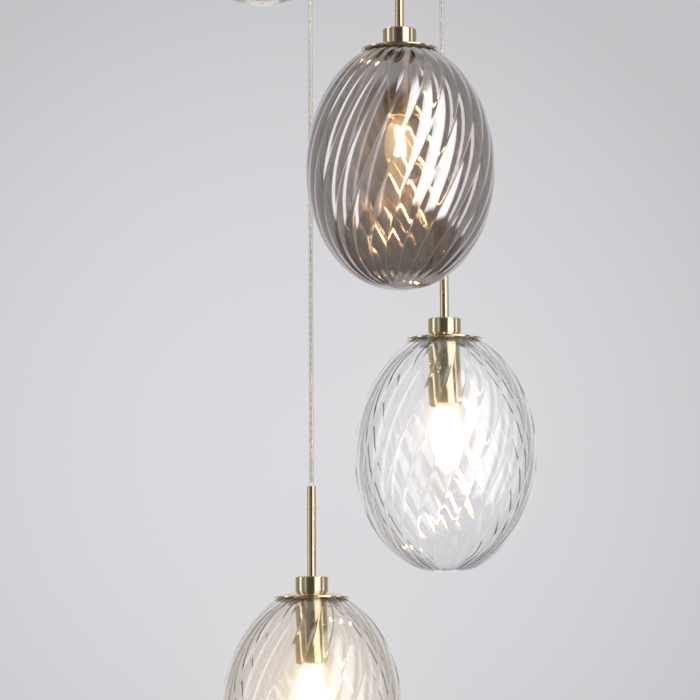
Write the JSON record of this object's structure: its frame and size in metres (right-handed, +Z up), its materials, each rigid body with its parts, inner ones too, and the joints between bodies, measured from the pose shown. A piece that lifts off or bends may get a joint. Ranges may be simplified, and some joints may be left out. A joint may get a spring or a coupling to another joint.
{
  "type": "cluster pendant light",
  "caption": "Cluster pendant light: ribbed blown-glass lamps hung at stepped heights on plain cables from a round ceiling canopy, with brass fittings.",
  "frame": {"origin": "on the ceiling plane, at the centre of the canopy and of its bracket's upper face", "axes": "+Z up through the ceiling, X along the ceiling bracket; the lamps hang at the corners of a square, towards -Z"},
  "size_m": [0.3548, 0.3548, 1.469],
  "materials": {
    "brass": "satin brushed, pale champagne brass",
    "zinc_steel": "zinc plated",
    "spring_steel": "bright spring steel",
    "cap_nickel": "nickel plated brass",
    "porcelain": "glazed porcelain",
    "nylon": "moulded nylon",
    "silicone": "translucent silicone",
    "cable_sheath": "clear sheath over twisted copper and tinned strands",
    "smoke_glass": "blown, ribbed, smoke with a light mirror finish",
    "clear_glass": "blown, ribbed, clear",
    "champagne_glass": "blown, ribbed, pale champagne",
    "bulb_glass": "thin blown glass, lit from inside"
  },
  "bodies": {
    "canopy_body": {"canopy": "brass", "ceiling_bracket": "zinc_steel", "side_screws": "brass", "terminal_block": "porcelain", "earth_screw": "brass", "cord_grips": "brass", "cord_grip_nuts": "brass", "canopy_wiring": "cable_sheath"},
    "lamp_1_cord": {"lamp_1_cable": "cable_sheath"},
    "lamp_1_fitting": {"lamp_1_strain_relief": "nylon", "lamp_1_rod": "brass", "lamp_1_collar": "brass", "lamp_1_dish": "brass", "lamp_1_gasket": "silicone", "lamp_1_clip": "spring_steel", "lamp_1_cup": "brass", "lamp_1_lock_nut": "zinc_steel", "lamp_1_lampholder": "porcelain"},
    "lamp_1_glass": {"lamp_1_shade": "champagne_glass"},
    "lamp_1_bulb": {"lamp_1_bulb_cap": "cap_nickel", "lamp_1_bulb_glass": "bulb_glass"},
    "lamp_2_cord": {"lamp_2_cable": "cable_sheath"},
    "lamp_2_fitting": {"lamp_2_strain_relief": "nylon", "lamp_2_rod": "brass", "lamp_2_collar": "brass", "lamp_2_dish": "brass", "lamp_2_gasket": "silicone", "lamp_2_clip": "spring_steel", "lamp_2_cup": "brass", "lamp_2_lock_nut": "zinc_steel", "lamp_2_lampholder": "porcelain"},
    "lamp_2_glass": {"lamp_2_shade": "smoke_glass"},
    "lamp_2_bulb": {"lamp_2_bulb_cap": "cap_nickel", "lamp_2_bulb_glass": "bulb_glass"},
    "lamp_3_cord": {"lamp_3_cable": "cable_sheath"},
    "lamp_3_fitting": {"lamp_3_strain_relief": "nylon", "lamp_3_rod": "brass", "lamp_3_collar": "brass", "lamp_3_dish": "brass", "lamp_3_gasket": "silicone", "lamp_3_clip": "spring_steel", "lamp_3_cup": "brass", "lamp_3_lock_nut": "zinc_steel", "lamp_3_lampholder": "porcelain"},
    "lamp_3_glass": {"lamp_3_shade": "clear_glass"},
    "lamp_3_bulb": {"lamp_3_bulb_cap": "cap_nickel", "lamp_3_bulb_glass": "bulb_glass"},
    "lamp_4_cord": {"lamp_4_cable": "cable_sheath"},
    "lamp_4_fitting": {"lamp_4_strain_relief": "nylon", "lamp_4_rod": "brass", "lamp_4_collar": "brass", "lamp_4_dish": "brass", "lamp_4_gasket": "silicone", "lamp_4_clip": "spring_steel", "lamp_4_cup": "brass", "lamp_4_lock_nut": "zinc_steel", "lamp_4_lampholder": "porcelain"},
    "lamp_4_glass": {"lamp_4_shade": "champagne_glass"},
    "lamp_4_bulb": {"lamp_4_bulb_cap": "cap_nickel", "lamp_4_bulb_glass": "bulb_glass"}
  },
  "joints": [
    {"name": "lamp_1_swing", "type": "hinge", "parent": "canopy_body", "child": "lamp_1_cord", "pos_m": [-0.07778, -0.07778, -0.045], "axis": [-0.7071, 0.7071, 0], "range_deg": [-1.5, 25]},
    {"name": "lamp_1_twist", "type": "hinge", "parent": "lamp_1_cord", "child": "lamp_1_fitting", "pos_m": [-0.07778, -0.07778, -0.2], "axis": [0, 0, 1], "range_deg": [-180, 180]},
    {"name": "lamp_1_glass_drop", "type": "slide", "parent": "lamp_1_fitting", "child": "lamp_1_glass", "axis": [0, 0, -1], "range_m": [0, 0.1]},
    {"name": "lamp_1_bulb_unscrew", "type": "hinge", "parent": "lamp_1_fitting", "child": "lamp_1_bulb", "pos_m": [-0.07778, -0.07778, -0.38], "axis": [0, 0, -1], "range_deg": [0, 1080]},
    {"name": "lamp_2_swing", "type": "hinge", "parent": "canopy_body", "child": "lamp_2_cord", "pos_m": [0.07778, -0.07778, -0.045], "axis": [-0.7071, -0.7071, 0], "range_deg": [-1.5, 25]},
    {"name": "lamp_2_twist", "type": "hinge", "parent": "lamp_2_cord", "child": "lamp_2_fitting", "pos_m": [0.07778, -0.07778, -0.52], "axis": [0, 0, 1], "range_deg": [-180, 180]},
    {"name": "lamp_2_glass_drop", "type": "slide", "parent": "lamp_2_fitting", "child": "lamp_2_glass", "axis": [0, 0, -1], "range_m": [0, 0.1]},
    {"name": "lamp_2_bulb_unscrew", "type": "hinge", "parent": "lamp_2_fitting", "child": "lamp_2_bulb", "pos_m": [0.07778, -0.07778, -0.7], "axis": [0, 0, -1], "range_deg": [0, 1080]},
    {"name": "lamp_3_swing", "type": "hinge", "parent": "canopy_body", "child": "lamp_3_cord", "pos_m": [0.07778, 0.07778, -0.045], "axis": [0.7071, -0.7071, 0], "range_deg": [-1.5, 25]},
    {"name": "lamp_3_twist", "type": "hinge", "parent": "lamp_3_cord", "child": "lamp_3_fitting", "pos_m": [0.07778, 0.07778, -0.81], "axis": [0, 0, 1], "range_deg": [-180, 180]},
    {"name": "lamp_3_glass_drop", "type": "slide", "parent": "lamp_3_fitting", "child": "lamp_3_glass", "axis": [0, 0, -1], "range_m": [0, 0.1]},
    {"name": "lamp_3_bulb_unscrew", "type": "hinge", "parent": "lamp_3_fitting", "child": "lamp_3_bulb", "pos_m": [0.07778, 0.07778, -0.99], "axis": [0, 0, -1], "range_deg": [0, 1080]},
    {"name": "lamp_4_swing", "type": "hinge", "parent": "canopy_body", "child": "lamp_4_cord", "pos_m": [-0.07778, 0.07778, -0.045], "axis": [0.7071, 0.7071, 0], "range_deg": [-1.5, 25]},
    {"name": "lamp_4_twist", "type": "hinge", "parent": "lamp_4_cord", "child": "lamp_4_fitting", "pos_m": [-0.07778, 0.07778, -1.09], "axis": [0, 0, 1], "range_deg": [-180, 180]},
    {"name": "lamp_4_glass_drop", "type": "slide", "parent": "lamp_4_fitting", "child": "lamp_4_glass", "axis": [0, 0, -1], "range_m": [0, 0.1]},
    {"name": "lamp_4_bulb_unscrew", "type": "hinge", "parent": "lamp_4_fitting", "child": "lamp_4_bulb", "pos_m": [-0.07778, 0.07778, -1.27], "axis": [0, 0, -1], "range_deg": [0, 1080]}
  ]
}
